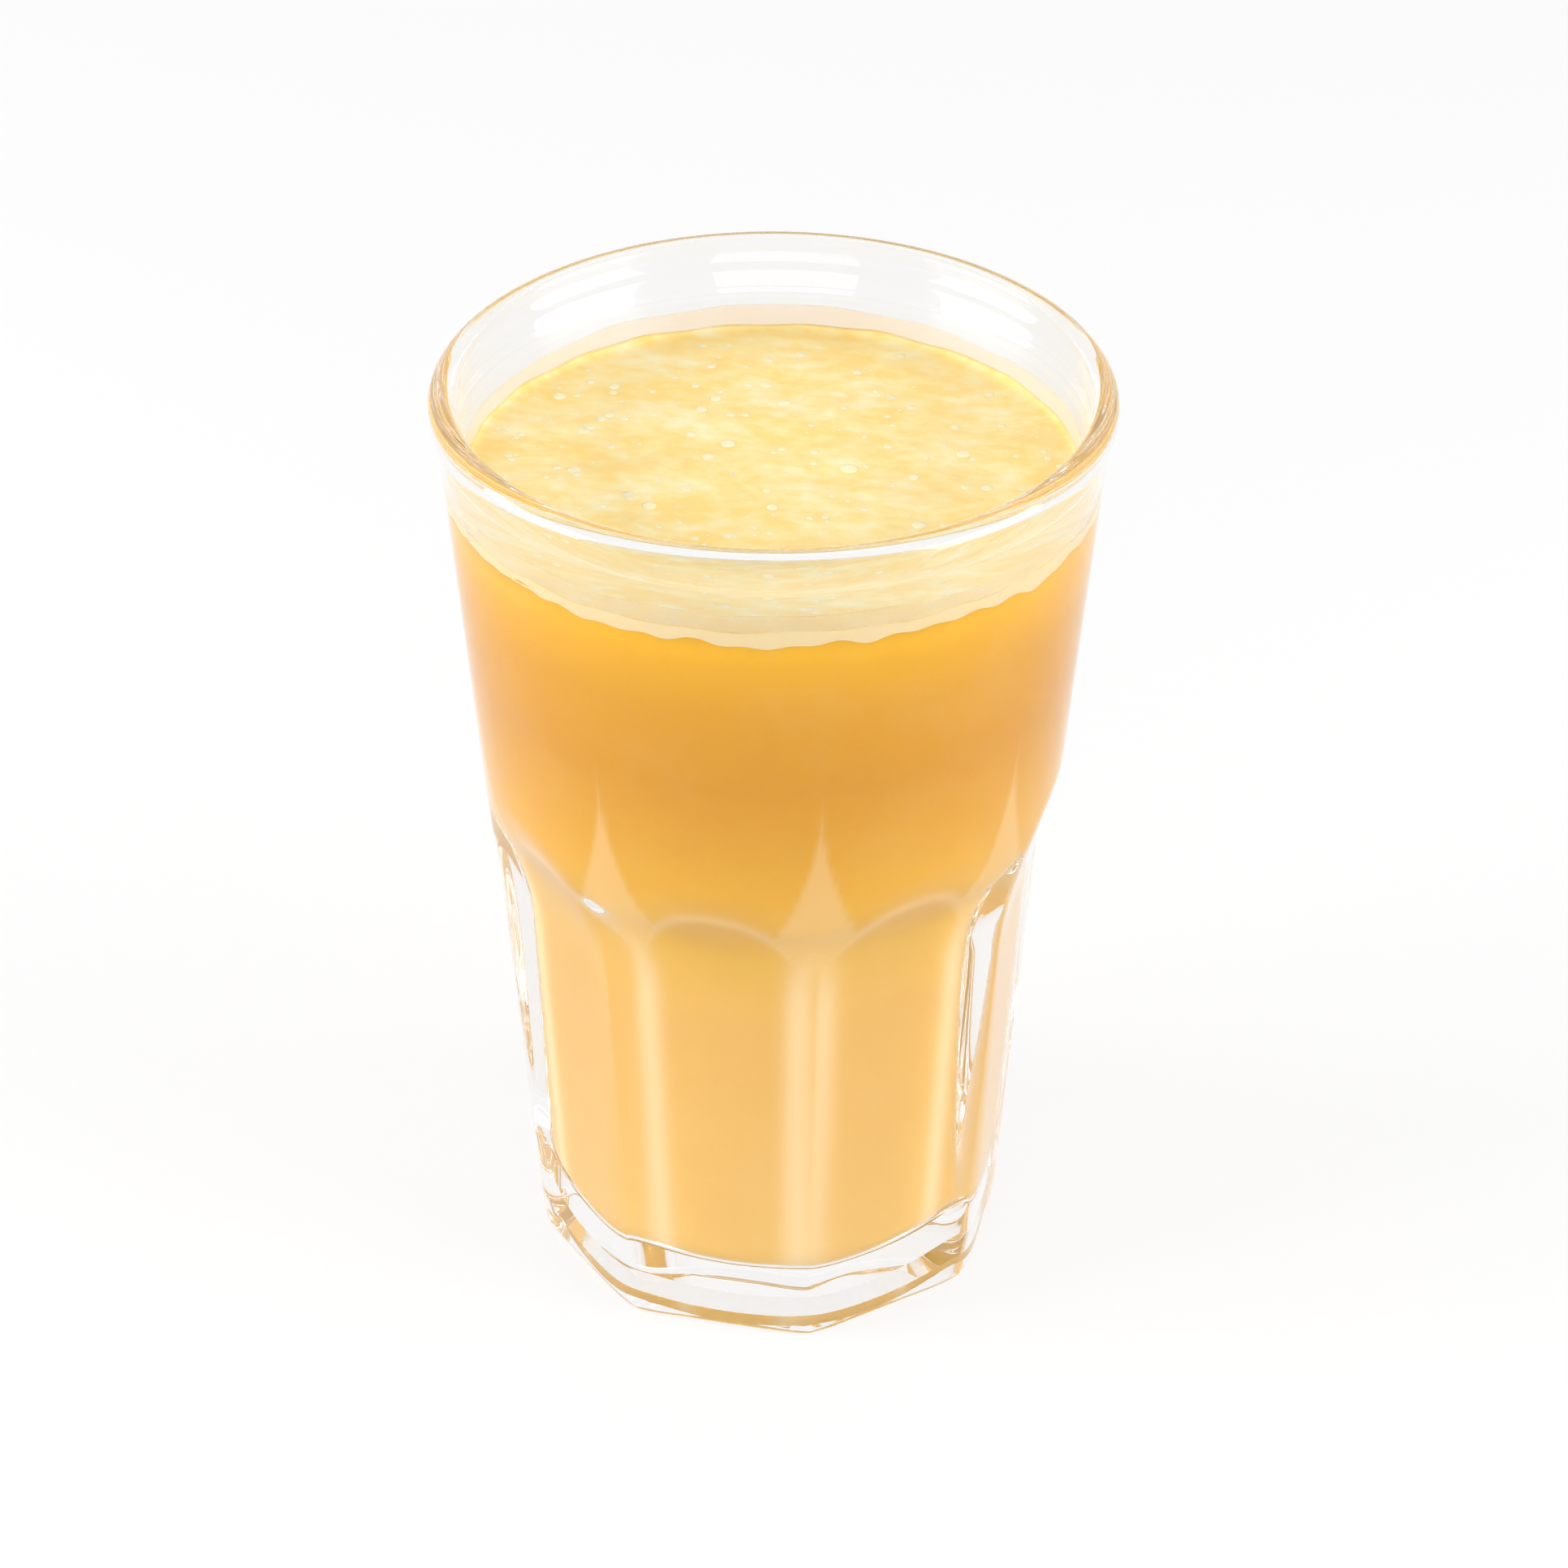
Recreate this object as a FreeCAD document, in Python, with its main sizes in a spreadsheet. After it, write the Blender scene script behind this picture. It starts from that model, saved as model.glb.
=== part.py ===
import FreeCAD, Part
import os
import Sketcher
from FreeCAD import Vector

# A tall pressed tumbler of milkshake: a round, slightly flared upper part with a rounded rim, and a
# lower half with eight flat facets that run out above in scooped arches. The well inside follows the
# facets with a thick wall and a heavy floor, and widens to a thin wall above the shoulder.
# Heights are measured from the surface that the glass stands on. Millimetres.

sizes = [
    # name, value, what it is
    ("glass_height", 132.0, "height of the whole glass"),
    ("rim_radius", 45.0, "outer radius of the rim bead"),
    ("rim_round", 2.0, "rounding of the rim, outside"),
    ("lip_round", 1.1, "rounding of the rim, inside"),
    ("bead_step", 1.07, "how far the bead stands out of the wall below it"),
    ("bead_swell", 7.3, "radius of the bead's swell in section"),
    ("shoulder_height", 60.0, "height where the round part ends"),
    ("shoulder_step", 0.65, "how far the round part stands out past the facets' corners there"),
    ("facet_count", 8, "number of facets round the lower half"),
    ("foot_apothem", 30.95, "from the axis to a facet, at the foot"),
    ("shoulder_apothem", 34.37, "from the axis to a facet, at its top"),
    ("facet_top", 56.0, "height where a facet starts to curve out"),
    ("scoop_radius", 58.0, "radius of the scoop above a facet"),
    ("scoop_turn", 30.0, "angle through which the scoop curves, degrees"),
    ("foot_round", 1.2, "rounding of the edge round the foot"),
    ("dish_radius", 24.0, "radius of the hollow under the foot"),
    ("dish_depth", 2.4, "depth of the hollow under the foot"),
    ("dish_edge", 2.4, "width of the sloping edge of that hollow"),
    ("floor_thickness", 6.6, "height of the bottom of the well"),
    ("floor_round", 6.0, "rounding at the bottom of the well"),
    ("foot_wall", 7.75, "thickness of the glass behind a facet, at the foot"),
    ("facet_wall", 8.87, "thickness of the glass behind a facet, at its top"),
    ("well_top", 55.0, "height where the well starts to widen"),
    ("low_trim", 0.91, "how much the rounded corners of the well fall short of sharp ones, low down"),
    ("high_trim", 0.5, "how much they fall short where the well starts to widen"),
    ("well_scoop_radius", 20.0, "radius of the scoop above a flat of the well"),
    ("well_scoop_turn", 64.0, "angle through which that scoop curves, degrees"),
    ("funnel_low_radius", 24.0, "radius of the widening's lower curve, between the flats"),
    ("funnel_high_radius", 16.0, "radius of its upper curve"),
    ("shoulder_wall", 3.61, "thickness of the round wall, at the shoulder"),
    ("rim_wall", 3.3, "from the outside of the bead to the inside of the wall"),
    ("fill_gap", 13.2, "from the rim down to the level of the milkshake"),
]

cutter_overshoot = 5.0  # how far cutting shapes run past what they cut

# from where the rim's rounding starts down to the foot of the bead, so that the swell ends upright
bead_drop = "sqrt(Sizes.bead_swell ^ 2 - (Sizes.bead_swell - Sizes.bead_step) ^ 2)"


def addSizes(doc):
    sheet = doc.addObject("Spreadsheet::Sheet", "Sizes")
    for row, (name, value, note) in enumerate(sizes, 1):
        sheet.set(f"A{row}", name)
        sheet.set(f"B{row}", str(value))
        sheet.setAlias(f"B{row}", name)
        sheet.set(f"C{row}", note)
    doc.recompute()
    return sheet


def lean(low, high):
    # angle from the upright of the line between two (radius, height) corners
    return f"atan(({high[0]} - ({low[0]})) / ({high[1]} - ({low[1]})))"


def cornerRadius(apothem):
    # from the axis to a corner between two facets
    return f"({apothem}) / cos(180 / Sizes.facet_count)"


def outward(corner, radius, start, end):
    # end of an arc that curves away from the axis, from one lean to a larger one
    return (f"{corner[0]} + {radius} * (cos({start}) - cos({end}))",
            f"{corner[1]} + {radius} * (sin({end}) - sin({start}))")


def inward(corner, radius, start, end):
    # end of an arc that curves back towards the axis, from one lean to a smaller one
    return (f"{corner[0]} + {radius} * (cos({end}) - cos({start}))",
            f"{corner[1]} + {radius} * (sin({start}) - sin({end}))")


def arcMiddle(start, end, radius, bulge):
    # point halfway along the arc, bulge is +1 to the left of start-end and -1 to its right
    chord = end - start
    left = Vector(-chord.y, chord.x, 0).normalize()
    sagitta = radius - (radius ** 2 - chord.Length ** 2 / 4) ** 0.5
    return (start + end) / 2 + left * (bulge * sagitta)


def drawProfile(body, name, outline):
    # closed outline in the plane of the axis, each corner as (radius, height, edge to the next corner),
    # and an edge either "line" or (radius of the arc, side to which it bulges)
    plane = next(p for p in body.Origin.OriginFeatures if p.Role == "XZ_Plane")
    sketch = body.newObject("Sketcher::SketchObject", name)
    sketch.AttachmentSupport = (plane, [""])
    sketch.MapMode = "FlatFace"
    places = [Vector(float(sketch.evalExpression(x)), float(sketch.evalExpression(z)), 0)
              for x, z, edge in outline]
    starts = []
    ends = []
    for i, (x, z, edge) in enumerate(outline):
        here, there = places[i], places[(i + 1) % len(places)]
        if edge == "line":
            geometry = sketch.addGeometry(Part.LineSegment(here, there))
        else:
            radius = float(sketch.evalExpression(edge[0]))
            middle = arcMiddle(here, there, radius, edge[1])
            geometry = sketch.addGeometry(Part.Arc(here, middle, there))
            ring = sketch.addConstraint(Sketcher.Constraint("Radius", geometry, radius))
            sketch.setExpression(f"Constraints[{ring}]", edge[0])
        near = 1 if sketch.getPoint(geometry, 1).distanceToPoint(here) < 1e-6 else 2
        starts.append((geometry, near))
        ends.append((geometry, 3 - near))
    for i, (x, z, edge) in enumerate(outline):
        sketch.addConstraint(Sketcher.Constraint("Coincident", *ends[i - 1], *starts[i]))
        for kind, axis, text, value in (("DistanceX", -2, x, places[i].x), ("DistanceY", -1, z, places[i].y)):
            if text == "0":
                sketch.addConstraint(Sketcher.Constraint("PointOnObject", *starts[i], axis))
            else:
                held = sketch.addConstraint(Sketcher.Constraint(kind, -1, 1, *starts[i], value))
                sketch.setExpression(f"Constraints[{held}]", text)
    return sketch


def revolve(body, name, sketch):
    solid = body.newObject("PartDesign::Revolution", name)
    solid.Profile = sketch
    solid.ReferenceAxis = (sketch, ["V_Axis"])
    solid.Angle = 360
    return solid


def cutRoundAxis(doc, body, name, sketch):
    # cuts the outline straight across the axis, then repeats the cut for every facet
    doc.recompute()
    before = body.Shape.Volume
    cut = body.newObject("PartDesign::Pocket", name)
    cut.Profile = sketch
    cut.SideType = "Symmetric"
    cut.setExpression("Length", "Sizes.rim_radius * 2")
    doc.recompute()
    once = body.Shape.Volume
    axis = next(a for a in body.Origin.OriginFeatures if a.Role == "Z_Axis")
    ring = body.newObject("PartDesign::PolarPattern", name + "Ring")
    ring.Originals = [cut]
    ring.Axis = (axis, [""])
    ring.Angle = 360
    ring.setExpression("Occurrences", "Sizes.facet_count")
    body.Tip = ring
    doc.recompute()
    if not body.Shape.Volume < once < before:
        raise RuntimeError(f"{name} cut nothing")
    return ring


def makeOuterForm(doc):
    # the glass without its well
    rim = "Sizes.rim_radius"
    top = "Sizes.glass_height"
    neck = (f"{rim} - Sizes.bead_step", f"{top} - Sizes.rim_round - {bead_drop}")
    foot = f"{cornerRadius('Sizes.foot_apothem')} + {cutter_overshoot} / 3"
    shoulder = f"{cornerRadius('Sizes.shoulder_apothem')} + Sizes.shoulder_step"
    body = doc.addObject("PartDesign::Body", "OuterForm")
    blank = drawProfile(body, "OuterProfile", [
        ("0", "Sizes.dish_depth", "line"),
        ("Sizes.dish_radius - Sizes.dish_edge", "Sizes.dish_depth", "line"),
        ("Sizes.dish_radius", "0", "line"),
        (foot, "0", "line"),
        (shoulder, "Sizes.shoulder_height", "line"),
        (*neck, ("Sizes.bead_swell", -1)),
        (rim, f"{top} - Sizes.rim_round", ("Sizes.rim_round", -1)),
        (f"{rim} - Sizes.rim_round", top, "line"),
        ("0", top, "line"),
    ])
    revolve(body, "OuterRound", blank)
    start = ("Sizes.foot_apothem", "Sizes.foot_round")
    end = ("Sizes.shoulder_apothem", "Sizes.facet_top")
    tilt = lean(start, end)
    exit = outward(end, "Sizes.scoop_radius", tilt, f"({tilt} + Sizes.scoop_turn * 1 deg)")
    clear = f"{rim} * 1.5"
    below = f"0 - {cutter_overshoot}"
    inset = "Sizes.foot_apothem - Sizes.foot_round"
    facet = drawProfile(body, "FacetProfile", [
        (inset, below, "line"),
        (inset, "0", ("Sizes.foot_round", -1)),
        (*start, "line"),
        (*end, ("Sizes.scoop_radius", 1)),
        (*exit, "line"),
        (clear, exit[1], "line"),
        (clear, below, "line"),
    ])
    cutRoundAxis(doc, body, "Facet", facet)
    return body


def makeWellForm(doc):
    # the space inside the glass, as a solid up to just past the rim
    top = "Sizes.glass_height"
    body = doc.addObject("PartDesign::Body", "WellForm")
    start = ("Sizes.foot_apothem - Sizes.foot_wall", "0")
    end = ("Sizes.shoulder_apothem - Sizes.facet_wall", "Sizes.well_top")
    low = (f"{cornerRadius(start[0])} - Sizes.low_trim", "Sizes.floor_thickness + Sizes.floor_round")
    high = (f"{cornerRadius(end[0])} - Sizes.high_trim", "Sizes.well_top")
    outside = f"{cornerRadius('Sizes.shoulder_apothem')} + Sizes.shoulder_step"
    shoulder = (f"{outside} - Sizes.shoulder_wall", "Sizes.shoulder_height")
    mouth = ("Sizes.rim_radius - Sizes.rim_wall", f"{top} - Sizes.lip_round")
    # the widening is two curves that meet at a lean found from how far out the wall lies
    tilt = lean(low, high)
    wall = lean(shoulder, mouth)
    reach = (f"({shoulder[0]} + ({high[1]} - {shoulder[1]}) * tan({wall}) - ({high[0]})) * cos({wall})")
    both = "(Sizes.funnel_low_radius + Sizes.funnel_high_radius)"
    steep = (f"({wall} + acos((Sizes.funnel_low_radius * cos({tilt} - {wall})"
             f" + Sizes.funnel_high_radius - {reach}) / {both}))")
    bend = outward(high, "Sizes.funnel_low_radius", tilt, steep)
    settle = inward(bend, "Sizes.funnel_high_radius", steep, wall)
    lip = f"{mouth[0]} + Sizes.lip_round"
    blank = drawProfile(body, "WellProfile", [
        ("0", "Sizes.floor_thickness", "line"),
        (f"{low[0]} - Sizes.floor_round", "Sizes.floor_thickness", ("Sizes.floor_round", -1)),
        (*low, "line"),
        (*high, ("Sizes.funnel_low_radius", 1)),
        (*bend, ("Sizes.funnel_high_radius", -1)),
        (*settle, "line"),
        (*mouth, ("Sizes.lip_round", 1)),
        (lip, top, "line"),
        (lip, f"{top} + {cutter_overshoot}", "line"),
        ("0", f"{top} + {cutter_overshoot}", "line"),
    ])
    revolve(body, "WellRound", blank)
    slope = lean(start, end)
    exit = outward(end, "Sizes.well_scoop_radius", slope, f"({slope} + Sizes.well_scoop_turn * 1 deg)")
    clear = "Sizes.rim_radius * 1.5"
    flat = drawProfile(body, "FlatProfile", [
        (*start, "line"),
        (*end, ("Sizes.well_scoop_radius", 1)),
        (*exit, "line"),
        (clear, exit[1], "line"),
        (clear, "0", "line"),
    ])
    cutRoundAxis(doc, body, "Flat", flat)
    return body


def makeGlass(doc, outer, well):
    glass = doc.addObject("Part::Cut", "Tumbler")
    glass.Base = outer
    glass.Tool = well
    glass.Label = "glass_tumbler"
    return glass


def makeMilkshake(doc, well):
    # fills the well up to its level
    reach = doc.addObject("Part::Cylinder", "FillReach")
    reach.setExpression("Radius", "Sizes.rim_radius")
    reach.setExpression("Height", "Sizes.glass_height - Sizes.fill_gap")
    drink = doc.addObject("Part::Common", "Drink")
    drink.Base = well
    drink.Tool = reach
    drink.Label = "milkshake"
    return drink


def checkAndWrite(doc, pieces):
    doc.recompute()
    for item in doc.Objects:
        if "Invalid" in item.State or "Error" in item.State:
            raise RuntimeError(f"{item.Name} failed: {item.State}")
    for piece in pieces:
        shape = piece.Shape
        if shape.isNull() or not shape.isValid() or len(shape.Solids) != 1:
            raise RuntimeError(f"{piece.Label} isn't one sound solid")
    os.makedirs("parts", exist_ok=True)
    for piece in pieces:
        piece.Shape.exportStep(f"parts/{piece.Label}.step")
        box = piece.Shape.optimalBoundingBox()
        print(f"{piece.Label}: {piece.Shape.Volume / 1000:.1f} cm3, "
              f"{box.XLength:.2f} x {box.YLength:.2f} x {box.ZLength:.2f} mm")


doc = FreeCAD.newDocument("LucumaMilkshake")
addSizes(doc)
outerForm = makeOuterForm(doc)
wellForm = makeWellForm(doc)
glassTumbler = makeGlass(doc, outerForm, wellForm)
milkshake = makeMilkshake(doc, wellForm)
checkAndWrite(doc, [glassTumbler, milkshake])
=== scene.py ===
import math
import bpy
import numpy as np
from mathutils import Matrix, Vector


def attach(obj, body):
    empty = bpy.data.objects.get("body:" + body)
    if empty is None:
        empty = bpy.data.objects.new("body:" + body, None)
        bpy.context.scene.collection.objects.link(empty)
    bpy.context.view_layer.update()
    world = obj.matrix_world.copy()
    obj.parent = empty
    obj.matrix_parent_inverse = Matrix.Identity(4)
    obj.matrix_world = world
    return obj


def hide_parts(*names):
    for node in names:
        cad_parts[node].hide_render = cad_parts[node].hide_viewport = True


# A faceted glass of milkshake. Sizes in the dictionaries are millimetres and degrees, meshes are in metres.
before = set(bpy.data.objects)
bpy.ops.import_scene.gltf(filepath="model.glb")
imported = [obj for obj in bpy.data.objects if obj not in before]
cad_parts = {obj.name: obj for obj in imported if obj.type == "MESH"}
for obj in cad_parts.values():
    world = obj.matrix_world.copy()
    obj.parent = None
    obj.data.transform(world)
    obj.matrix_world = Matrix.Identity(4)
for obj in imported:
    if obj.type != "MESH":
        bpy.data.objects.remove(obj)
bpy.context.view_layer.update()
millimetre = 0.001

glass = {
    "height": 132.0, "rimRadius": 45.0, "rimRound": 2.0, "lipRound": 1.1, "beadStep": 1.07, "beadSwell": 7.3,
    "shoulderRadius": 37.85, "shoulderHeight": 60.0, "facets": 8, "footApothem": 30.95, "footRound": 1.2,
    "shoulderApothem": 34.37, "facetTop": 56.0, "scoopRadius": 58.0, "ridgeRound": 0.7, "archSoft": 1.0,
    "dishRadius": 24.0, "dishEdge": 2.4, "dishDepth": 2.4,
    # no arch is higher than archLimit, and the wall is plain from plainWall up
    "archLimit": 82.0, "plainWall": 92.0, "creaseAngle": 38.0,
}
well = {
    "floor": 6.6, "floorRound": 6.0, "mouthRadius": 41.7, "shoulderRadius": 34.24, "top": 55.0,
    "flatLow": 23.2, "flatTop": 25.5, "cornerLow": 7.0, "cornerTop": 2.6, "scoopRadius": 20.0,
    "bendLow": 24.0, "bendHigh": 16.0, "lowRadius": 24.2, "topRadius": 27.1, "archSoft": 1.6,
    "softFrom": 50.0, "softOver": 15.0, "leastSoft": 0.05, "scoopEnd": 0.93,
}
# rows of points in each stretch of the glass, and how strongly they crowd to the arch line
glassRows = {
    "foot": 13, "flats": 8, "belowArch": 21, "aboveArch": 19, "wall": 7, "bead": 12, "rim": 16, "lip": 14,
    "crowdBelow": 1.7, "crowdAbove": 1.8,
    # heights and rows of the well from its mouth down, closest together where it widens
    "mouthTo": (83, 10), "widening": (82.6, 58, 64), "narrow": (57, 13.5, 16), "floorRound": 18,
}
columnsPerFacet = 30
poleRadius = 1.5  # innermost row of a mesh, which a fan closes
noWall = 99.0  # a radius out of reach, where a surface bounds nothing


def arcPoints(centreR, centreZ, radius, start, end, steps):
    # points at start..end degrees on a circle round (centreR, centreZ), angle 0 pointing away from the axis
    angle = np.radians(np.linspace(start, end, steps))
    return np.stack([centreR + radius * np.cos(angle), centreZ + radius * np.sin(angle)], 1)


def columnAzimuths():
    # angles round the axis, closer together towards the ridges: offset = 22.5 * (1 - (0.35 w + 0.65 w^2))
    halfFacet = 180 / glass["facets"]
    share = np.linspace(1, 0, columnsPerFacet // 2 + 1)
    offset = halfFacet * (1 - (0.35 * share + 0.65 * share ** 2))
    oneFacet = np.concatenate([-offset[:0:-1], offset[:-1]])
    middles = np.arange(glass["facets"]) * 2 * halfFacet
    return np.radians(np.add.outer(middles, oneFacet).ravel())


def facetOffset(azimuth):
    # angle from the middle of the nearest facet, facets being centred on the axes
    step = 2 * math.pi / glass["facets"]
    return np.abs((azimuth + step / 2) % step - step / 2)


def scoopedApothem(height, low, lowZ, top, topZ, radius):
    # a straight flat from low to top, then an arc tangent to it that curves away from the axis
    lean = math.atan((top - low) / (topZ - lowZ))
    straight = low + (height - lowZ) * math.tan(lean)
    turned = np.clip((height - topZ) / radius + math.sin(lean), -1, 0.999)
    curved = top + radius * (math.cos(lean) - np.sqrt(1 - turned ** 2))
    return np.where(height > topZ, curved, straight)


def roundedPolygon(apothem, cornerRadius, offset):
    # distance to a polygon's side, or to the circle of cornerRadius that rounds its corner
    half = math.pi / glass["facets"]
    centre = (apothem - cornerRadius) / math.cos(half)
    side = apothem / np.cos(offset)
    across = centre * np.sin(half - offset)
    corner = centre * np.cos(half - offset) + np.sqrt(np.maximum(cornerRadius ** 2 - across ** 2, 0))
    onSide = apothem * np.tan(offset) < (apothem - cornerRadius) * math.tan(half)
    return np.where(onSide, side, corner)


def softMinimum(first, second, blend):
    # the lesser of two surfaces, with the crease between them rounded over the distance blend
    near = np.maximum(blend - np.abs(first - second), 0) / blend
    return np.minimum(first, second) - near ** 2 * blend / 4


def outerCone(height):
    # radius of the round wall, a straight line from the shoulder to the bead
    drop = math.sqrt(glass["beadSwell"] ** 2 - (glass["beadSwell"] - glass["beadStep"]) ** 2)
    neckZ = glass["height"] - glass["rimRound"] - drop
    widening = glass["rimRadius"] - glass["beadStep"] - glass["shoulderRadius"]
    slope = widening / (neckZ - glass["shoulderHeight"])
    return glass["shoulderRadius"] + slope * (height - glass["shoulderHeight"]), neckZ


def outerFacet(height, offset):
    # radius of the faceted lower half, whose bottom edge is rounded
    apothem = scoopedApothem(height, glass["footApothem"], glass["footRound"],
                             glass["shoulderApothem"], glass["facetTop"], glass["scoopRadius"])
    below = np.clip(glass["footRound"] - height, 0, glass["footRound"])
    apothem = apothem - glass["footRound"] + np.sqrt(glass["footRound"] ** 2 - below ** 2)
    return roundedPolygon(apothem, glass["ridgeRound"], offset)


def archHeight(offset):
    # height at which the scoop of each column meets the round wall
    trial = np.linspace(glass["facetTop"], glass["archLimit"], 800)[:, None]
    inside = outerFacet(trial, offset) < outerCone(trial)[0]
    return trial[np.argmin(inside, axis=0), 0]


def wellRadius(height, offset, roundRadius):
    # radius inside the glass: eight flats with rounded corners that run out into the round wall
    apothem = scoopedApothem(height, well["flatLow"], 0.0, well["flatTop"], well["top"], well["scoopRadius"])
    share = np.clip((height - well["floor"]) / (well["top"] - well["floor"]), 0, 1)
    corner = well["cornerLow"] + (well["cornerTop"] - well["cornerLow"]) * share
    polygon = roundedPolygon(apothem, corner, offset)
    # above the end of the scoop the flats no longer bound the well
    past = height > well["top"] + well["scoopRadius"] * well["scoopEnd"]
    polygon = np.where(past, noWall, polygon)
    blend = np.clip((height - well["softFrom"]) / well["softOver"], 0, 1)
    return softMinimum(polygon, roundRadius, well["leastSoft"] + well["archSoft"] * blend)


def roundWall(height):
    # radius of the well between its flats: corner line, two curves of the widening, then the straight wall
    lowZ = well["floor"] + well["floorRound"]
    lean = math.atan((well["topRadius"] - well["lowRadius"]) / (well["top"] - lowZ))
    mouthZ = glass["height"] - glass["lipRound"]
    wall = math.atan((well["mouthRadius"] - well["shoulderRadius"]) / (mouthZ - glass["shoulderHeight"]))
    wallAtTop = well["shoulderRadius"] + (well["top"] - glass["shoulderHeight"]) * math.tan(wall)
    reach = (wallAtTop - well["topRadius"]) * math.cos(wall)
    both = well["bendLow"] + well["bendHigh"]
    steep = wall + math.acos((well["bendLow"] * math.cos(lean - wall) + well["bendHigh"] - reach) / both)
    bendR = well["topRadius"] + well["bendLow"] * (math.cos(lean) - math.cos(steep))
    bendZ = well["top"] + well["bendLow"] * (math.sin(steep) - math.sin(lean))
    endZ = bendZ + well["bendHigh"] * (math.sin(steep) - math.sin(wall))
    sineLow = np.clip((height - well["top"]) / well["bendLow"] + math.sin(lean), -1, 0.999)
    lowBend = well["topRadius"] + well["bendLow"] * (math.cos(lean) - np.sqrt(1 - sineLow ** 2))
    sineHigh = np.clip(math.sin(steep) - (height - bendZ) / well["bendHigh"], -0.999, 0.999)
    highBend = bendR + well["bendHigh"] * (np.sqrt(1 - sineHigh ** 2) - math.cos(steep))
    line = well["lowRadius"] + (height - lowZ) * math.tan(lean)
    upper = well["mouthRadius"] + (height - mouthZ) * math.tan(wall)
    return np.select([height < well["top"], height < bendZ, height < endZ], [line, lowBend, highBend], upper)


def newPiece(name, points, faces):
    # a smooth mesh from points in millimetres, linked to the scene
    mesh = bpy.data.meshes.new(name)
    mesh.from_pydata(points * millimetre, [], faces)
    mesh.polygons.foreach_set("use_smooth", np.ones(len(mesh.polygons), bool))
    piece = bpy.data.objects.new(name, mesh)
    bpy.context.scene.collection.objects.link(piece)
    return piece


def around(radius, height, azimuth):
    # points at the given radii and heights, azimuth 0 pointing to the front
    return np.stack([radius * np.sin(azimuth), -radius * np.cos(azimuth), height], 2)


def wholeRing(azimuth, value):
    # the same value in every column
    return np.full_like(azimuth, value)


def saveNumbers(piece, name, values):
    # a number for each point of the mesh, which a material reads by name
    piece.data.attributes.new(name, "FLOAT", "POINT").data.foreach_set("value", values)


def gridMesh(name, radius, height, azimuth):
    # rows of points round the axis, joined into quads, with a fan to one point at the first and last row
    radius, height = np.broadcast_arrays(radius, height)
    rows, columns = radius.shape
    points = around(radius, height, azimuth).reshape(-1, 3)
    poles = np.array([[0, 0, height[0].mean()], [0, 0, height[-1].mean()]])
    here = np.arange((rows - 1) * columns).reshape(rows - 1, columns)
    side = np.roll(here, -1, axis=1)
    quads = np.stack([here, side, side + columns, here + columns], 2).reshape(-1, 4)
    first = np.arange(columns)
    last = first + (rows - 1) * columns
    firstFan = np.stack([np.full(columns, rows * columns), np.roll(first, -1), first], 1)
    lastFan = np.stack([np.full(columns, rows * columns + 1), last, np.roll(last, -1)], 1)
    faces = quads.tolist() + firstFan.tolist() + lastFan.tolist()
    return newPiece(name, np.concatenate([points, poles]), faces)


def makeGlass():
    azimuth = columnAzimuths()
    offset = facetOffset(azimuth)
    archZ = archHeight(offset)
    neckZ = outerCone(0)[1]
    foot = glass["footRound"]
    under = [[poleRadius, glass["dishDepth"]], [glass["dishRadius"] - glass["dishEdge"], glass["dishDepth"]],
             [glass["dishRadius"], 0.0]]
    rows = [(wholeRing(azimuth, r), wholeRing(azimuth, z)) for r, z in under]
    # foot edge, flats, then rows that crowd to the arch line from both sides
    turned = np.radians(np.linspace(0, 90, glassRows["foot"]))
    heights = [wholeRing(azimuth, z) for z in foot * (1 - np.cos(turned))]
    heights += [wholeRing(azimuth, z) for z in np.linspace(foot, glass["facetTop"], glassRows["flats"])[1:]]
    crowd = 1 - (1 - np.linspace(0, 1, glassRows["belowArch"])[1:]) ** glassRows["crowdBelow"]
    heights += [glass["facetTop"] + (archZ - glass["facetTop"]) * share for share in crowd]
    spread = np.linspace(0, 1, glassRows["aboveArch"])[1:] ** glassRows["crowdAbove"]
    heights += [archZ + (glass["plainWall"] - archZ) * share for share in spread]
    heights += [wholeRing(azimuth, z) for z in np.linspace(glass["plainWall"], neckZ, glassRows["wall"])[1:]]
    pastArch = glass["archLimit"] + 2
    for z in heights:
        faceted = np.where(z > pastArch, noWall, outerFacet(np.minimum(z, pastArch), offset))
        rows.append((softMinimum(faceted, outerCone(z)[0], glass["archSoft"]), z))
    swell = glass["beadSwell"]
    beadZ = glass["height"] - glass["rimRound"]
    start = -math.degrees(math.acos((swell - glass["beadStep"]) / swell))
    rim = np.concatenate([
        arcPoints(glass["rimRadius"] - swell, beadZ, swell, start, 0, glassRows["bead"])[1:],
        arcPoints(glass["rimRadius"] - glass["rimRound"], beadZ, glass["rimRound"],
                  0, 90, glassRows["rim"])[1:],
        arcPoints(well["mouthRadius"] + glass["lipRound"], glass["height"] - glass["lipRound"],
                  glass["lipRound"], 90, 180, glassRows["lip"])])
    rows += [(wholeRing(azimuth, r), wholeRing(azimuth, z)) for r, z in rim]
    for r, z in wellRows(glass["height"] - glass["lipRound"])[1:]:
        rows.append((wellRadius(wholeRing(azimuth, z), offset, r), wholeRing(azimuth, z)))
    radius = np.array([r for r, z in rows])
    height = np.array([z for r, z in rows])
    piece = gridMesh("glass_clear", radius, height, azimuth)
    piece.data.set_sharp_from_angle(angle=math.radians(glass["creaseAngle"]))
    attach(piece, "root")
    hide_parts("glass_tumbler")
    return piece


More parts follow.
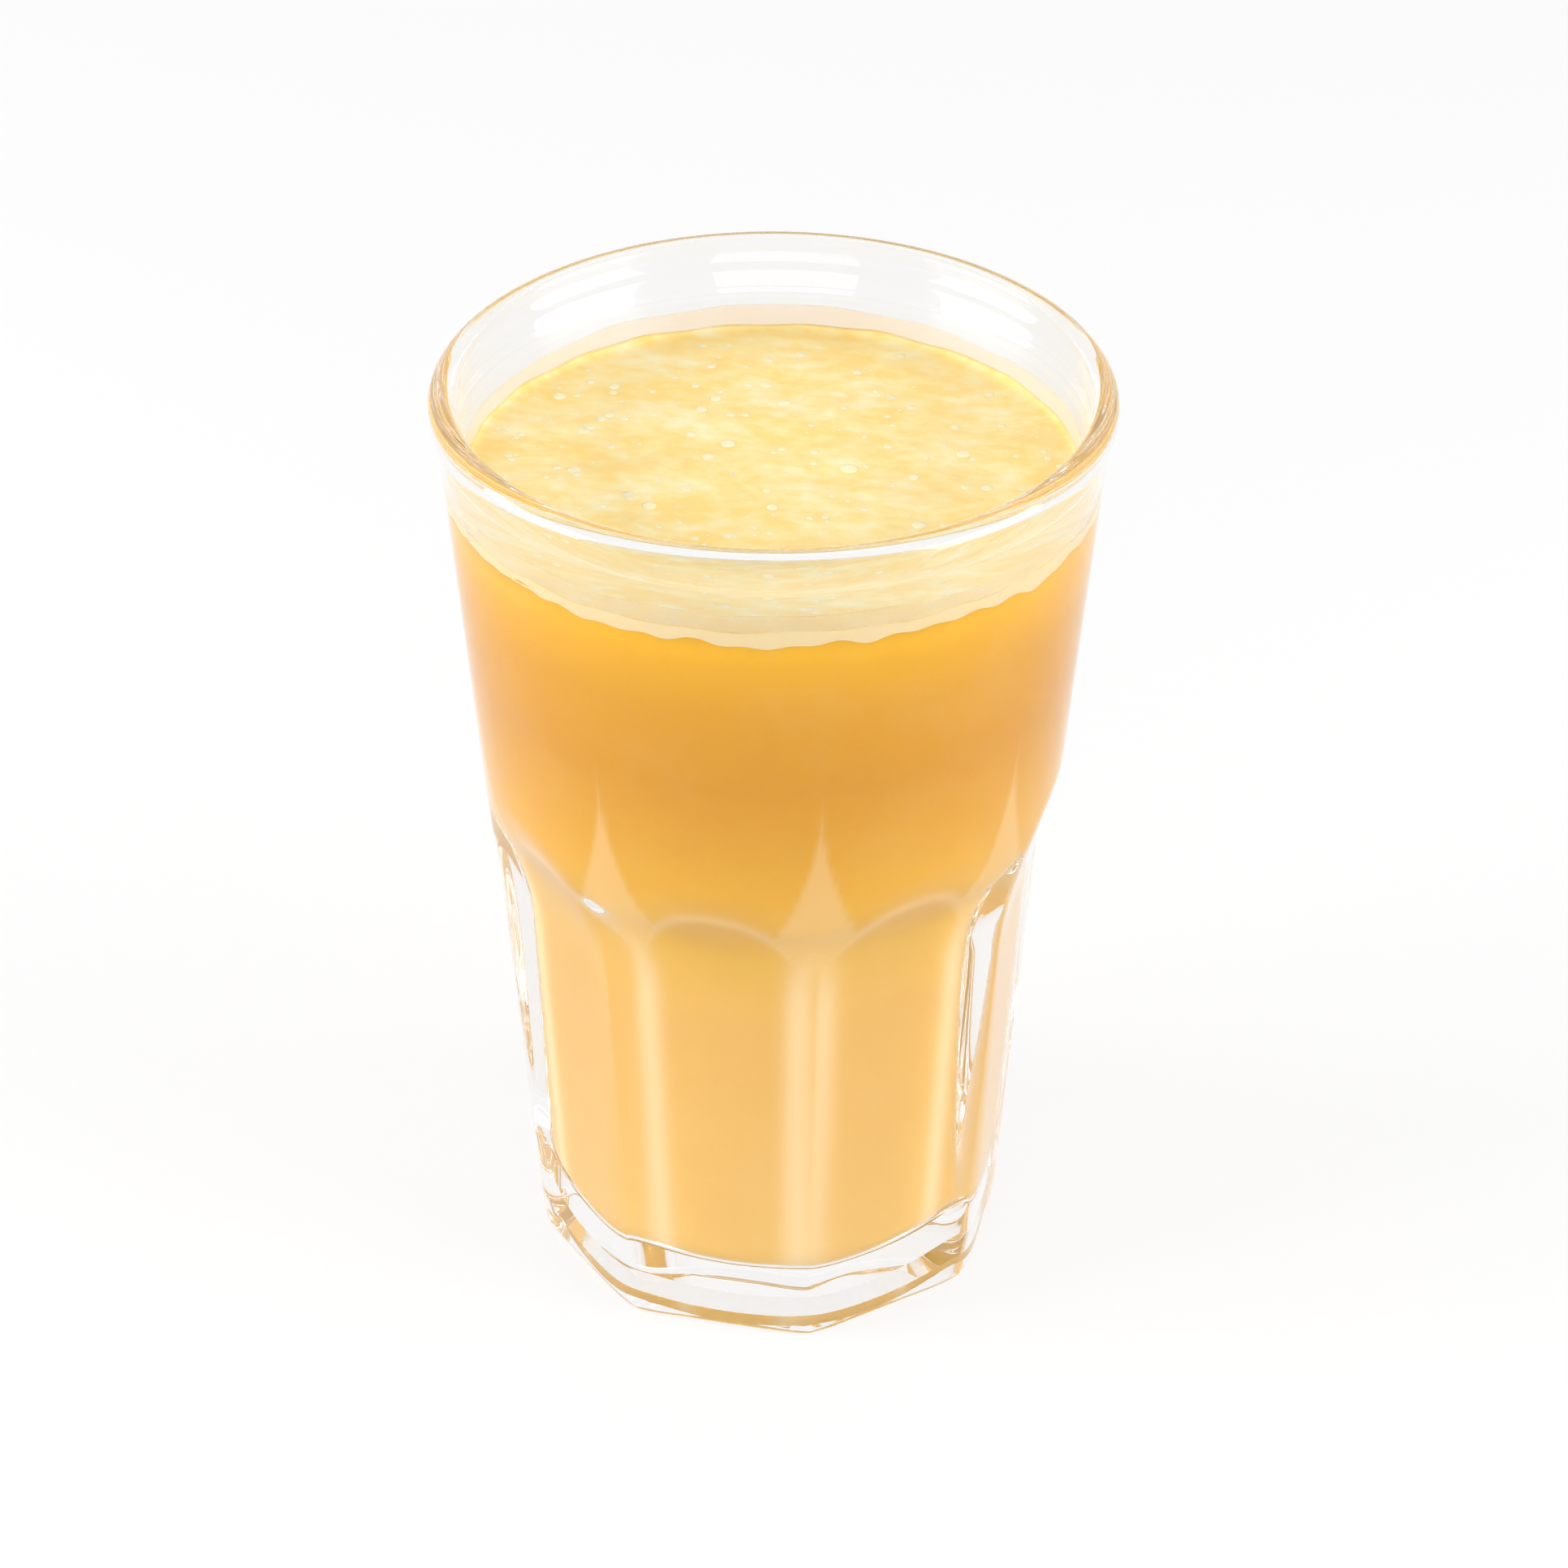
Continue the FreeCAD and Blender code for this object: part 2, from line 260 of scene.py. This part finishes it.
def wellRows(topZ):
    # heights from topZ down to the floor with the round radius there, then the rounding and the flat bottom
    heights = np.concatenate([np.linspace(topZ, *glassRows["mouthTo"]), np.linspace(*glassRows["widening"]),
                              np.linspace(*glassRows["narrow"])])
    wall = np.stack([roundWall(heights), heights], 1)
    cornerR = well["lowRadius"] - well["floorRound"]
    turn = arcPoints(cornerR, well["floor"] + well["floorRound"], well["floorRound"],
                     0, -90, glassRows["floorRound"])[1:]
    return np.concatenate([wall, turn, [[cornerR * 0.5, well["floor"]], [poleRadius, well["floor"]]]])


drink = {
    "level": 118.8, "intoWall": 0.08, "bodyTop": 117.9, "topRings": (poleRadius, 20, 39), "seed": 7,
}
froth = {
    "surface": 118.7, "under": 117.2, "intoWall": 0.13, "columns": 480, "rings": 92, "creaseAngle": 50.0,
    "low": 117.45, "rise": 0.75, "riseWidth": 0.55,
    # size, turns round the axis and seed of the uneven rise at the wall and of the ragged lower edge
    "riseUneven": 0.25, "riseTurns": (3, 5, 9, 14, 23), "riseSeed": 5,
    "ragged": 0.55, "raggedTurns": (2, 3, 5, 8, 13, 19, 29, 41), "raggedSeed": 11,
    # length, height and stretch along x of each size of wave, and the spread of length within a size
    "waves": [(17, 0.12, 1.0), (7, 0.045, 1.8), (3.2, 0.012, 2.2), (1.7, 0.005, 1.6)], "wavesEach": 14,
    "lengthSpread": (0.7, 1.4),
    "innerRing": 0.4, "skirtRows": 9, "underRings": [39.0, 20.0, poleRadius],
}
bubble = {
    "count": 220, "reach": 39.0, "smallest": 0.3, "spread": 1.1, "flat": 0.2, "foot": 0.35, "sunk": 0.06,
    "beta": (1.2, 3.6), "columns": 10, "rowAngles": [-25, 10, 40, 68],
}
film = {
    "top": 122.0, "topUneven": 0.25, "topTurns": (2, 3, 4, 7, 11, 17), "topSeed": 3,
    "bottom": 118.2, "intoWall": 0.04, "thick": 0.12, "closing": 6, "edge": 0.005,
    "columns": 480, "rows": 14,
}
paint = {
    # painted light on the body, paler along its corners, its arches and in spikes: widths round the axis are
    # in radians, heights and drops in millimetres
    "cornerShare": 0.9, "cornerTop": 76.0, "cornerFade": 20.0, "cornerWidth": 0.075,
    "archShare": 0.5, "archDrop": 4.0, "archWidth": 1.2,
    "spikeShare": 0.42, "spikeTop": 94.0, "spikeLow": 60.0, "spikeWidth": 0.3, "spikeEdge": 0.02,
    # height and colour of the drink behind the glass, with painted light and shade: paler low down and near
    # the froth, deepest in the middle
    "heights": [(10, (247, 199, 110)), (50, (240, 190, 98)), (63, (245, 195, 76)), (78, (240, 181, 48)),
                (94, (226, 161, 22)), (106, (232, 169, 14)), (113, (246, 183, 12)), (117, (255, 192, 14))],
}


def waves(azimuth, counts, seed):
    # uneven line round the axis: sum of cosines with the given numbers of turns and seeded phases
    random = np.random.default_rng(seed)
    phase = random.uniform(0, 2 * math.pi, len(counts))[:, None]
    size = random.uniform(0.5, 1.0, len(counts))[:, None]
    turns = np.array(counts)[:, None]
    return (size * np.cos(turns * azimuth + phase)).sum(0) / np.sqrt((size ** 2).sum())


def paintedLightShare(height, offset):
    # painted light, greatest along the corners between the flats, fading out where the well widens
    half = math.pi / glass["facets"]
    below = np.clip((paint["cornerTop"] - height) / paint["cornerFade"], 0, 1)
    corner = paint["cornerShare"] * below * np.exp(-((half - offset) / paint["cornerWidth"]) ** 2)
    # and a line of painted highlight that follows the arches
    fromArch = height - (archHeight(offset) - paint["archDrop"])
    line = paint["archShare"] * np.exp(-(fromArch / paint["archWidth"]) ** 2)
    # and a spike of painted light between each two arches, narrowing to its tip
    toTip = np.clip((paint["spikeTop"] - height) / (paint["spikeTop"] - paint["spikeLow"]), 0, 1)
    inside = np.clip((paint["spikeWidth"] * toTip ** 2 - (half - offset)) / paint["spikeEdge"], 0, 1)
    spike = paint["spikeShare"] * inside * np.clip(fromArch / paint["archWidth"], 0, 1)
    return np.maximum(np.maximum(corner, line), spike)


def makeBody():
    # the drink up to just under its froth, reaching a little into the wall so that no air shows
    azimuth = columnAzimuths()
    offset = facetOffset(azimuth)
    top = drink["bodyTop"]
    rows = [(wholeRing(azimuth, r), wholeRing(azimuth, top)) for r in drink["topRings"]]
    for r, z in wellRows(top):
        edge = wellRadius(wholeRing(azimuth, z), offset, r)
        low = np.clip((well["floor"] + well["floorRound"] - z) / well["floorRound"], 0, 1)
        side = drink["intoWall"] * np.sqrt(1 - low ** 2) if r > poleRadius else 0
        rows.append((edge + side, wholeRing(azimuth, z - drink["intoWall"] * low)))
    radius = np.array([r for r, z in rows])[::-1]
    height = np.array([z for r, z in rows])[::-1]
    piece = gridMesh("milkshake_body", radius, height, azimuth)
    # painted light along the corners, the arches and the spikes, kept for each point for the body's material
    corner = np.concatenate([paintedLightShare(height, offset).ravel(), [0.0, 0.0]])
    saveNumbers(piece, "corner", corner)
    risen = np.concatenate([height.ravel(), [well["floor"], top]]) / drink["level"]
    saveNumbers(piece, "risen", risen)
    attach(piece, "root")
    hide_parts("milkshake")
    return piece


def frothRelief(x, y):
    # height of the froth's surface: cosines of seeded heading and phase, in four lengths drawn out along x
    random = np.random.default_rng(drink["seed"])
    height = np.zeros_like(x)
    for length, size, stretch in froth["waves"]:
        count = froth["wavesEach"]
        heading = random.uniform(0, 2 * math.pi, count)
        number = 2 * math.pi / (length * random.uniform(*froth["lengthSpread"], count))
        phase = random.uniform(0, 2 * math.pi, count)
        across = np.multiply.outer(number * np.cos(heading) / stretch, x)
        along = np.multiply.outer(number * np.sin(heading), y)
        height += size * np.cos(across + along + phase.reshape(-1, 1, 1)).sum(0) / math.sqrt(count)
    return height


def bubblePlaces():
    # seeded centres, even over the surface, and radii, small ones being the commonest
    random = np.random.default_rng(drink["seed"] + 1)
    count = bubble["count"]
    distance = bubble["reach"] * np.sqrt(random.uniform(0.002, 1, count))
    angle = random.uniform(0, 2 * math.pi, count)
    radius = bubble["smallest"] + bubble["spread"] * random.beta(*bubble["beta"], count)
    return distance * np.cos(angle), distance * np.sin(angle), radius


def makeFroth():
    # rings over the surface, then the skirt down the wall and the flat underside
    columns = froth["columns"]
    azimuth = np.linspace(0, 2 * math.pi, columns, endpoint=False)
    wall = roundWall(np.array(drink["level"] + froth["rise"]))
    rings = np.linspace(froth["innerRing"], float(wall) + froth["intoWall"], froth["rings"])
    radius = np.repeat(rings[:, None], columns, 1)
    x, y = radius * np.sin(azimuth), -radius * np.cos(azimuth)
    towardWall = np.exp(-(rings[-1] - radius) / froth["riseWidth"])
    height = froth["surface"] + frothRelief(x, y) * (1 - towardWall)
    uneven = 1 + froth["riseUneven"] * waves(azimuth, froth["riseTurns"], froth["riseSeed"])
    height += froth["rise"] * towardWall * uneven
    low = froth["low"] + froth["ragged"] * waves(azimuth, froth["raggedTurns"], froth["raggedSeed"])
    share = np.linspace(0, 1, froth["skirtRows"])[1:, None]
    skirtZ = height[-1] * (1 - share) + low * share
    skirtR = roundWall(skirtZ) + froth["intoWall"]
    under = np.repeat(np.array(froth["underRings"])[:, None], columns, 1)
    radius = np.concatenate([radius, skirtR, under])
    height = np.concatenate([height, skirtZ, np.full_like(under, froth["under"])])
    piece = gridMesh("milkshake_froth", radius[::-1], height[::-1], azimuth)
    # 1 on the skirt against the wall, 0 on the surface
    onWall = np.concatenate([np.zeros((len(rings), columns)), np.ones((len(skirtZ) + len(under), columns))])
    piece.data.set_sharp_from_angle(angle=math.radians(froth["creaseAngle"]))
    onWall = np.concatenate([onWall[::-1].ravel(), [1.0, 0.0]])
    saveNumbers(piece, "onWall", onWall)
    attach(piece, "root")
    return piece


def makeFilm():
    # a thin skin left on the wall above the froth: its top edge wanders and its thickness closes there
    columns = film["columns"]
    azimuth = np.linspace(0, 2 * math.pi, columns, endpoint=False)
    top = film["top"] + film["topUneven"] * waves(azimuth, film["topTurns"], film["topSeed"])
    share = np.linspace(0, 1, film["rows"])[:, None]
    outerZ = film["bottom"] * (1 - share) + top * share
    outer = roundWall(outerZ) + film["intoWall"]
    innerZ = outerZ[::-1]
    inner = roundWall(innerZ) - film["thick"] * (1 - share[::-1] ** film["closing"]) - film["edge"]
    ring = around(np.concatenate([outer, inner]), np.concatenate([outerZ, innerZ]), azimuth)
    rows = len(ring)
    here = np.arange(rows * columns).reshape(rows, columns)
    side = np.roll(here, -1, axis=1)
    quads = np.stack([here, side, np.roll(side, -1, axis=0), np.roll(here, -1, axis=0)], 2).reshape(-1, 4)
    piece = newPiece("milkshake_film", ring.reshape(-1, 3), quads.tolist())
    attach(piece, "root")
    return piece


def makeBubbles():
    # small domes: rows of points on a sphere round each centre, flattened and set into the froth
    x, y, size = bubblePlaces()
    columns = bubble["columns"]
    turn = np.linspace(0, 2 * math.pi, columns, endpoint=False)
    up = np.radians(np.array(bubble["rowAngles"]))[:, None]
    wide = size[:, None, None] * np.cos(up)
    centre = froth["surface"] - bubble["sunk"] + frothRelief(x[None, :], y[None, :])[0]
    px = x[:, None, None] + wide * np.cos(turn)
    py = y[:, None, None] + wide * np.sin(turn)
    pz = centre[:, None, None] + bubble["flat"] * size[:, None, None] * (np.sin(up) + 0 * turn)
    count = len(x)
    ringPoints = len(up) * columns
    rings = np.stack([px, py, pz], 3).reshape(count, ringPoints, 3)
    tip = np.stack([x, y, centre + bubble["flat"] * size], 1)[:, None]
    foot = np.stack([x, y, centre - bubble["foot"] * size], 1)[:, None]
    points = np.concatenate([rings, tip, foot], 1).reshape(-1, 3)
    here = np.arange(ringPoints - columns).reshape(-1, columns)
    side = np.roll(here, -1, axis=1)
    quads = np.stack([here, side, side + columns, here + columns], 2).reshape(-1, 4)
    first = np.arange(columns)
    last = first + ringPoints - columns
    topFan = np.stack([last, np.roll(last, -1), np.full(columns, ringPoints)], 1)
    footFan = np.stack([np.roll(first, -1), first, np.full(columns, ringPoints + 1)], 1)
    start = np.arange(count) * (ringPoints + 2)
    quads = (quads[None] + start[:, None, None]).reshape(-1, 4).tolist()
    fans = (np.concatenate([topFan, footFan])[None] + start[:, None, None]).reshape(-1, 3).tolist()
    piece = newPiece("milkshake_bubbles", points, quads + fans)
    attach(piece, "root")
    return piece


def newMaterial(name):
    material = bpy.data.materials.new(name)
    material.use_nodes = True
    return material, material.node_tree, material.node_tree.nodes["Principled BSDF"]


def addNode(tree, kind, **settings):
    node = tree.nodes.new(kind)
    for name, value in settings.items():
        if name.startswith("in_"):
            node.inputs[name[3:].replace("_", " ")].default_value = value
        else:
            setattr(node, name, value)
    return node


def makeMottleGroup():
    # cloudy mask: two sizes of noise, mixed by the fine one's share
    tree = bpy.data.node_groups.new("MilkMottle", "ShaderNodeTree")
    for name in ("Scale", "Fine Scale", "Fine Share"):
        tree.interface.new_socket(name, in_out="INPUT", socket_type="NodeSocketFloat")
    tree.interface.new_socket("Vector", in_out="INPUT", socket_type="NodeSocketVector")
    tree.interface.new_socket("Mask", in_out="OUTPUT", socket_type="NodeSocketFloat")
    entry = tree.nodes.new("NodeGroupInput")
    leave = tree.nodes.new("NodeGroupOutput")
    broad = addNode(tree, "ShaderNodeTexNoise", in_Detail=3.0)
    fine = addNode(tree, "ShaderNodeTexNoise", in_Detail=2.0)
    mix = addNode(tree, "ShaderNodeMix", data_type="FLOAT")
    tree.links.new(entry.outputs["Vector"], broad.inputs["Vector"])
    tree.links.new(entry.outputs["Vector"], fine.inputs["Vector"])
    tree.links.new(entry.outputs["Scale"], broad.inputs["Scale"])
    tree.links.new(entry.outputs["Fine Scale"], fine.inputs["Scale"])
    tree.links.new(entry.outputs["Fine Share"], mix.inputs["Factor"])
    tree.links.new(broad.outputs["Fac"], mix.inputs["A"])
    tree.links.new(fine.outputs["Fac"], mix.inputs["B"])
    tree.links.new(mix.outputs["Result"], leave.inputs["Mask"])
    return tree


def addRamp(tree, source, stops):
    ramp = tree.nodes.new("ShaderNodeValToRGB")
    while len(ramp.color_ramp.elements) < len(stops):
        ramp.color_ramp.elements.new(0.5)
    for element, (position, colour) in zip(ramp.color_ramp.elements, stops):
        element.position = position
        element.color = (*colour, 1)
    tree.links.new(source, ramp.inputs["Fac"])
    return ramp.outputs["Color"]


def addRange(tree, source, low, high, sourceLow=0.0, sourceHigh=1.0):
    # the source's range sourceLow..sourceHigh turned into low..high
    node = addNode(tree, "ShaderNodeMapRange")
    node.inputs["From Min"].default_value = sourceLow
    node.inputs["From Max"].default_value = sourceHigh
    node.inputs["To Min"].default_value = low
    node.inputs["To Max"].default_value = high
    tree.links.new(source, node.inputs["Value"])
    return node.outputs["Result"]


def addBlend(tree, factor, first, second):
    # first colour where the factor is 0, the plain colour second where it is 1
    blend = addNode(tree, "ShaderNodeMix", data_type="RGBA")
    tree.links.new(factor, blend.inputs["Factor"])
    tree.links.new(first, next(i for i in blend.inputs if i.name == "A" and i.type == "RGBA"))
    next(i for i in blend.inputs if i.name == "B" and i.type == "RGBA").default_value = (*second, 1)
    return next(o for o in blend.outputs if o.type == "RGBA")


def srgb(red, green, blue):
    # screen colour 0..255 to scene colour
    value = np.array([red, green, blue]) / 255
    linear = np.where(value <= 0.04045, value / 12.92, ((value + 0.055) / 1.055) ** 2.4)
    return tuple(float(v) for v in linear)


glassLook = {"roughness": 0.0, "ior": 1.5}
bodyLook = {
    # pale is the colour of the random clouds and also of the painted light along the corners, arches and
    # spikes
    "pale": (255, 223, 166), "clouds": 0.1, "cloudScale": 60, "fineScale": 300, "fineShare": 0.25,
    "cloudFrom": 0.5, "cloudFull": 0.75, "roughness": 0.5, "specular": 0.05, "againstGlass": 0.912,
}
frothLook = {
    "stops": [(0.40, (255, 217, 128)), (0.54, (255, 228, 158)), (0.66, (255, 238, 190))],
    "cloudScale": 140, "fineScale": 420, "fineShare": 0.5, "stretch": (0.75, 1.1, 1),
    "skirt": (255, 229, 176), "bubble": (255, 238, 190), "roughness": 0.35,
    "bumpScale": 600, "bumpFineScale": 1500, "bumpFineShare": 0.5,
    "bumpStrength": 0.06, "bumpDistance": 0.0004,
    "softness": 0.2, "reach": 0.002, "reachOfColours": (1.0, 0.6, 0.2),
}
filmLook = {
    "colour": (255, 229, 180), "cover": 0.26, "thinnest": 0.8, "thickest": 1.1,
    "cloudScale": 60, "fineScale": 200, "fineShare": 0.2, "stretch": (1, 1, 2),
    "thinAt": 0.3, "thickAt": 0.6, "roughness": 0.6, "specular": 0.1,
}


def dressGlass(piece):
    material, tree, shader = newMaterial("clearGlass")
    shader.inputs["Base Color"].default_value = (1, 1, 1, 1)
    shader.inputs["Roughness"].default_value = glassLook["roughness"]
    shader.inputs["IOR"].default_value = glassLook["ior"]
    shader.inputs["Transmission Weight"].default_value = 1
    piece.data.materials.append(material)


def placeMottle(tree, group, scale, fineScale, fineShare, stretch=(1, 1, 1)):
    # the shared mottle with its own sizes, on the object's own coordinates
    coords = tree.nodes.new("ShaderNodeTexCoord")
    mapping = addNode(tree, "ShaderNodeMapping")
    mapping.inputs["Scale"].default_value = stretch
    node = addNode(tree, "ShaderNodeGroup", node_tree=group)
    node.inputs["Scale"].default_value = scale
    node.inputs["Fine Scale"].default_value = fineScale
    node.inputs["Fine Share"].default_value = fineShare
    tree.links.new(coords.outputs["Object"], mapping.inputs["Vector"])
    tree.links.new(mapping.outputs["Vector"], node.inputs["Vector"])
    return node.outputs["Mask"]


def soften(shader):
    shader.inputs["Subsurface Weight"].default_value = frothLook["softness"]
    shader.inputs["Subsurface Radius"].default_value = frothLook["reachOfColours"]
    shader.inputs["Subsurface Scale"].default_value = frothLook["reach"]


def dressBody(piece, group):
    material, tree, shader = newMaterial("milkshakeThick")
    # the drink's colour by height, with painted light and shade in it: paler low down and near the froth
    risen = addNode(tree, "ShaderNodeAttribute", attribute_name="risen")
    stops = [(height / drink["level"], srgb(*colour)) for height, colour in paint["heights"]]
    litAndShadedByHeight = addRamp(tree, risen.outputs["Fac"], stops)
    mask = placeMottle(tree, group, bodyLook["cloudScale"], bodyLook["fineScale"], bodyLook["fineShare"])
    cloud = addRange(tree, mask, 0.0, bodyLook["clouds"], bodyLook["cloudFrom"], bodyLook["cloudFull"])
    clouded = addBlend(tree, cloud, litAndShadedByHeight, srgb(*bodyLook["pale"]))
    # painted light: the pale colour along the corners, the arch lines and the spikes
    corner = addNode(tree, "ShaderNodeAttribute", attribute_name="corner")
    colour = addBlend(tree, corner.outputs["Fac"], clouded, srgb(*bodyLook["pale"]))
    # behind glass a glancing look meets a mirror, because milk bends light less than glass does
    mirror = addNode(tree, "ShaderNodeFresnel", in_IOR=bodyLook["againstGlass"])
    rough = addRange(tree, mirror.outputs["Fac"], bodyLook["roughness"], 0.0)
    tree.links.new(addBlend(tree, mirror.outputs["Fac"], colour, (1, 1, 1)), shader.inputs["Base Color"])
    tree.links.new(mirror.outputs["Fac"], shader.inputs["Metallic"])
    tree.links.new(rough, shader.inputs["Roughness"])
    shader.inputs["Specular IOR Level"].default_value = bodyLook["specular"]
    piece.data.materials.append(material)


def dressFroth(piece, group):
    material, tree, shader = newMaterial("milkshakeFroth")
    mask = placeMottle(tree, group, frothLook["cloudScale"], frothLook["fineScale"],
                       frothLook["fineShare"], frothLook["stretch"])
    clouded = addRamp(tree, mask, [(position, srgb(*colour)) for position, colour in frothLook["stops"]])
    skirt = addNode(tree, "ShaderNodeAttribute", attribute_name="onWall")
    colour = addBlend(tree, skirt.outputs["Fac"], clouded, srgb(*frothLook["skirt"]))
    tree.links.new(colour, shader.inputs["Base Color"])
    shader.inputs["Roughness"].default_value = frothLook["roughness"]
    bump = addNode(tree, "ShaderNodeBump", in_Strength=frothLook["bumpStrength"],
                   in_Distance=frothLook["bumpDistance"])
    relief = placeMottle(tree, group, frothLook["bumpScale"], frothLook["bumpFineScale"],
                         frothLook["bumpFineShare"])
    tree.links.new(relief, bump.inputs["Height"])
    tree.links.new(bump.outputs["Normal"], shader.inputs["Normal"])
    soften(shader)
    piece.data.materials.append(material)


def dressBubbles(piece):
    material, tree, shader = newMaterial("milkshakeBubble")
    shader.inputs["Base Color"].default_value = (*srgb(*frothLook["bubble"]), 1)
    shader.inputs["Roughness"].default_value = frothLook["roughness"]
    soften(shader)
    piece.data.materials.append(material)


def dressFilm(piece, group):
    material, tree, shader = newMaterial("milkshakeFilm")
    shader.inputs["Base Color"].default_value = (*srgb(*filmLook["colour"]), 1)
    shader.inputs["Roughness"].default_value = filmLook["roughness"]
    shader.inputs["Specular IOR Level"].default_value = filmLook["specular"]
    mask = placeMottle(tree, group, filmLook["cloudScale"], filmLook["fineScale"],
                       filmLook["fineShare"], filmLook["stretch"])
    thinnest, thickest = filmLook["cover"] * filmLook["thinnest"], filmLook["cover"] * filmLook["thickest"]
    cover = addRange(tree, mask, thinnest, thickest, filmLook["thinAt"], filmLook["thickAt"])
    tree.links.new(cover, shader.inputs["Alpha"])
    piece.data.materials.append(material)


studio = {
    "floorReach": 3.0, "floorDrop": 0.0002, "floor": 0.8, "floorGlow": 0.75,
    "floorThroughGlass": 0.9, "glowThroughGlass": 0.93, "floorRoughness": 0.9, "floorSpecular": 0.1,
    "world": 0.55, "worldSeen": 0.95, "bounces": 16, "aim": (0, 0, 0.07),
    # place and size in metres, watts, and whether the glass mirrors the lamp
    "lamps": [
        ((-0.85, -0.35, 0.35), (0.7, 0.6), 10.5, True),
        ((0.90, -0.10, 0.35), (0.7, 0.6), 8.5, True),
        ((0.0, 0.35, 0.90), (0.8, 0.6), 0.9, True),
        ((0.15, -0.95, 0.40), (0.9, 0.6), 3.0, False),
    ],
}
view = {
    "place": (137.19, -594.22, 464.42), "heading": 12.85, "down": 32.888, "roll": 0.286, "lens": 122.33,
    "sensor": 36,
}


def addMaximum(tree, first, second):
    node = addNode(tree, "ShaderNodeMath", operation="MAXIMUM")
    tree.links.new(first, node.inputs[0])
    tree.links.new(second, node.inputs[1])
    return node.outputs[0]


def addProduct(tree, source, number):
    node = addNode(tree, "ShaderNodeMath", operation="MULTIPLY")
    node.inputs[1].default_value = number
    tree.links.new(source, node.inputs[0])
    return node.outputs[0]


def makeFloor():
    mesh = bpy.data.meshes.new("studio_floor")
    reach, low = studio["floorReach"], -studio["floorDrop"]
    corners = [(-reach, -reach, low), (reach, -reach, low), (reach, reach, low), (-reach, reach, low)]
    mesh.from_pydata(corners, [], [(0, 1, 2, 3)])
    floor = bpy.data.objects.new("studio_floor", mesh)
    bpy.context.scene.collection.objects.link(floor)
    material, tree, shader = newMaterial("studioFloor")
    shader.inputs["Base Color"].default_value = (studio["floor"],) * 3 + (1,)
    shader.inputs["Roughness"].default_value = studio["floorRoughness"]
    shader.inputs["Specular IOR Level"].default_value = studio["floorSpecular"]
    # part of the floor's light is plain white where a camera, glossy or transmission ray looks at it
    rays = tree.nodes.new("ShaderNodeLightPath").outputs
    plain = addMaximum(tree, rays["Is Camera Ray"], rays["Is Glossy Ray"])
    plain = addProduct(tree, plain, studio["floorGlow"])
    throughGlass = addProduct(tree, rays["Is Transmission Ray"], studio["floorThroughGlass"])
    glow = tree.nodes.new("ShaderNodeEmission")
    brightness = addRange(tree, rays["Is Transmission Ray"], 1.0, studio["glowThroughGlass"])
    tree.links.new(brightness, glow.inputs["Strength"])
    both = tree.nodes.new("ShaderNodeMixShader")
    tree.links.new(addMaximum(tree, plain, throughGlass), both.inputs["Fac"])
    tree.links.new(shader.outputs["BSDF"], both.inputs[1])
    tree.links.new(glow.outputs["Emission"], both.inputs[2])
    tree.links.new(both.outputs["Shader"], tree.nodes["Material Output"].inputs["Surface"])
    mesh.materials.append(material)


def makeLight():
    world = bpy.data.worlds.new("studioWorld")
    bpy.context.scene.world = world
    world.use_nodes = True
    tree = world.node_tree
    background = tree.nodes["Background"]
    background.inputs["Color"].default_value = (1, 1, 1, 1)
    # plain light on the object, paler to glossy and transmission rays, and white straight to the camera
    rays = tree.nodes.new("ShaderNodeLightPath").outputs
    seen = addMaximum(tree, rays["Is Glossy Ray"], rays["Is Transmission Ray"])
    strength = addRange(tree, seen, studio["world"], studio["worldSeen"])
    tree.links.new(addMaximum(tree, strength, rays["Is Camera Ray"]), background.inputs["Strength"])
    for number, (place, size, watts, mirrored) in enumerate(studio["lamps"]):
        lamp = bpy.data.lights.new(f"softbox{number}", "AREA")
        lamp.shape = "RECTANGLE"
        lamp.size, lamp.size_y = size
        lamp.energy = watts
        holder = bpy.data.objects.new(f"softbox{number}", lamp)
        holder.location = place
        aim = Vector(studio["aim"]) - Vector(place)
        holder.rotation_euler = aim.to_track_quat("-Z", "Y").to_euler()
        holder.visible_glossy = mirrored
        bpy.context.scene.collection.objects.link(holder)


def makeCamera():
    data = bpy.data.cameras.new("camera")
    data.lens = view["lens"]
    data.sensor_width = view["sensor"]
    camera = bpy.data.objects.new("camera", data)
    turn = Matrix.Rotation(math.radians(view["heading"]), 4, "Z")
    tip = Matrix.Rotation(math.radians(90 - view["down"]), 4, "X")
    roll = Matrix.Rotation(math.radians(view["roll"]), 4, "Z")
    camera.matrix_world = Matrix.Translation(Vector(view["place"]) * millimetre) @ turn @ tip @ roll
    bpy.context.scene.collection.objects.link(camera)
    bpy.context.scene.camera = camera
    bpy.context.scene.view_settings.view_transform = "Standard"
    # light that goes round inside the thick glass needs many turns
    bpy.context.scene.cycles.max_bounces = studio["bounces"] * 2
    bpy.context.scene.cycles.glossy_bounces = studio["bounces"]
    bpy.context.scene.cycles.transmission_bounces = studio["bounces"]


makeCamera()
makeLight()
makeFloor()
print("camera, light and floor done")
mottle = makeMottleGroup()
dressGlass(makeGlass())
print("glass done")
dressBody(makeBody(), mottle)
dressFroth(makeFroth(), mottle)
dressBubbles(makeBubbles())
dressFilm(makeFilm(), mottle)
print("milkshake done")
